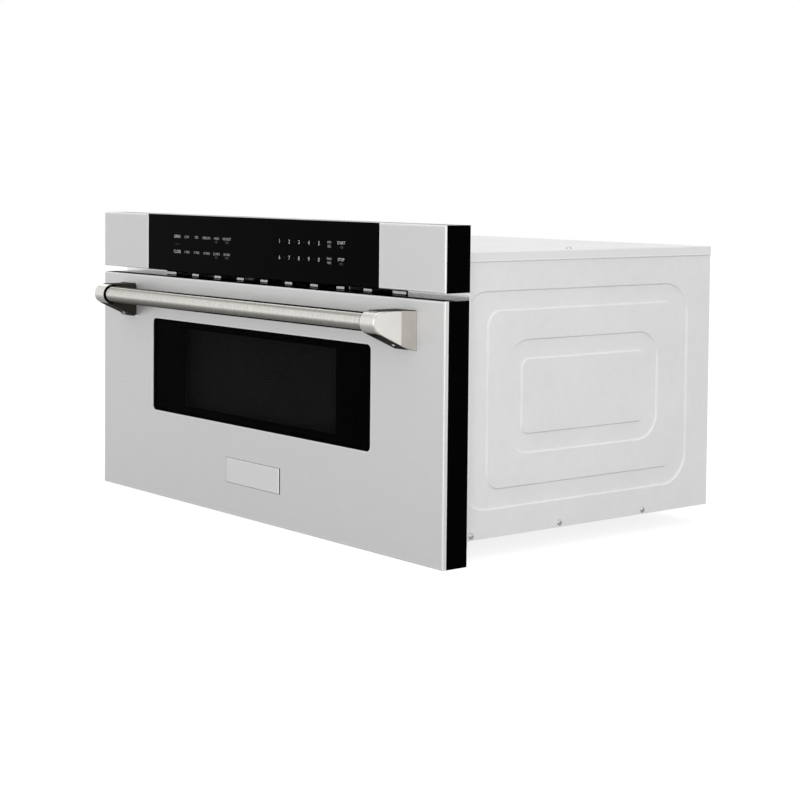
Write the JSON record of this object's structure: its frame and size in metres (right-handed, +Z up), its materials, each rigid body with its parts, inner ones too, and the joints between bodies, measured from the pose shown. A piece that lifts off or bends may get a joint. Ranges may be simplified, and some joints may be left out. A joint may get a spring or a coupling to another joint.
{
  "type": "microwave drawer",
  "caption": "Built-in microwave drawer with a stainless front, bar handle, dark window and black touch panel; the tub slides out on telescopic runners driven by a rack.",
  "frame": {"origin": "middle of the front edge of the flat underside, in the plane of the cabinet face behind the mounting flange", "axes": "+X to the right seen from the front, +Y from the front into the cabinet, +Z up"},
  "size_m": [0.76, 0.5473, 0.397],
  "materials": {
    "stainless": "fine horizontal brushing, satin",
    "badge_metal": "satin with a bevelled edge",
    "handle_metal": "warm satin nickel tone, brushed round",
    "handle_casting": "warm satin nickel tone",
    "black_glass": "polished black-backed glass",
    "door_glass": "smoked glass with a black printed border",
    "clear_glass": "clear toughened glass",
    "black_moulding": "satin black",
    "zinc_sheet": "zinc-plated sheet, light grey, fine grain",
    "galvanised_bracket": "dull galvanised",
    "painted_cavity": "light grey enamel",
    "perforated_screen": "black enamel, perforated",
    "ceramic": "speckled glass-ceramic",
    "mica": "matt mica board",
    "slide_steel": "bright zinc",
    "ball_steel": "polished balls in a strip",
    "screw_steel": "zinc plated",
    "white_nylon": "moulded nylon",
    "motor_can": "drawn steel can",
    "stirrer_metal": "plain sheet",
    "magnetron_metal": "plated frame and fins",
    "transformer_core": "varnished laminations",
    "circuit_board": "green laminate with parts"
  },
  "bodies": {
    "chassis": {"air_duct": "galvanised_bracket", "base_plate": "zinc_sheet", "cable_gland": "black_moulding", "capacitor": "motor_can", "casing_screws": "screw_steel", "cavity_lamp": "motor_can", "control_board": "circuit_board", "control_glass": "black_glass", "control_housing": "black_moulding", "drive_gearbox": "black_moulding", "drive_motor": "motor_can", "end_cap_left": "stainless", "end_cap_right": "stainless", "fan_housing": "black_moulding", "fan_motor": "motor_can", "filter_board": "circuit_board", "interlock_switches": "black_moulding", "magnetron": "magnetron_metal", "mounting_flange": "zinc_sheet", "oven_cavity": "painted_cavity", "rack_guide": "black_moulding", "rear_panel": "zinc_sheet", "side_panel_left": "zinc_sheet", "side_panel_right": "zinc_sheet", "slide_outer_left": "slide_steel", "slide_outer_right": "slide_steel", "slide_upright_left": "galvanised_bracket", "slide_upright_right": "galvanised_bracket", "stirrer_cover": "mica", "stirrer_motor": "black_moulding", "top_cover": "zinc_sheet", "transformer": "transformer_core", "waveguide": "galvanised_bracket"},
    "drawer": {"door_skin": "stainless", "door_frame": "black_moulding", "door_glass": "door_glass", "door_screen": "perforated_screen", "inner_glass": "clear_glass", "inner_panel": "painted_cavity", "badge_plate": "badge_metal", "latch_tongues": "white_nylon", "handle_tube": "handle_metal", "handle_bracket_left": "handle_casting", "handle_bracket_right": "handle_casting", "handle_set_screws": "screw_steel", "tub_side_left": "painted_cavity", "tub_side_right": "painted_cavity", "tub_floor": "painted_cavity", "tub_back": "painted_cavity", "ceramic_tray": "ceramic", "slide_inner_left": "slide_steel", "slide_inner_right": "slide_steel", "drive_rack": "white_nylon"},
    "slide_middle_left": {"slide_middle_left": "slide_steel"},
    "slide_middle_right": {"slide_middle_right": "slide_steel"},
    "outer_ball_cages": {"outer_ball_cages": "ball_steel"},
    "inner_ball_cages": {"inner_ball_cages": "ball_steel"},
    "drive_pinion": {"drive_pinion": "white_nylon"},
    "stirrer": {"stirrer": "stirrer_metal"},
    "fan": {"fan_blade": "white_nylon"}
  },
  "joints": [
    {"name": "drawer_slide", "type": "slide", "parent": "chassis", "child": "drawer", "axis": [0, -1, 0], "range_m": [0, 0.37]},
    {"name": "slide_middle_left_slide", "type": "slide", "parent": "chassis", "child": "slide_middle_left", "axis": [0, -1, 0], "range_m": [0, 0.185]},
    {"name": "slide_middle_right_slide", "type": "slide", "parent": "chassis", "child": "slide_middle_right", "axis": [0, -1, 0], "range_m": [0, 0.185]},
    {"name": "outer_ball_cages_slide", "type": "slide", "parent": "chassis", "child": "outer_ball_cages", "axis": [0, -1, 0], "range_m": [0, 0.0925]},
    {"name": "inner_ball_cages_slide", "type": "slide", "parent": "chassis", "child": "inner_ball_cages", "axis": [0, -1, 0], "range_m": [0, 0.2775]},
    {"name": "drive_pinion_turn", "type": "hinge", "parent": "chassis", "child": "drive_pinion", "pos_m": [0.015, 0.024, 0.012], "axis": [0, 0, 1], "range_deg": [0, 1414]},
    {"name": "stirrer_turn", "type": "hinge", "parent": "chassis", "child": "stirrer", "pos_m": [0, 0.206, 0.252], "axis": [0, 0, 1], "continuous": true},
    {"name": "fan_turn", "type": "hinge", "parent": "chassis", "child": "fan", "pos_m": [0.196, 0.4305, 0.2961], "axis": [0, 1, 0], "continuous": true}
  ],
  "couplings": [
    {"joint": "slide_middle_left_slide", "follows": "drawer_slide", "ratio": 0.5},
    {"joint": "slide_middle_right_slide", "follows": "drawer_slide", "ratio": 0.5},
    {"joint": "outer_ball_cages_slide", "follows": "drawer_slide", "ratio": 0.25},
    {"joint": "inner_ball_cages_slide", "follows": "drawer_slide", "ratio": 0.75},
    {"joint": "drive_pinion_turn", "follows": "drawer_slide", "rad_per_m": 66.667}
  ]
}
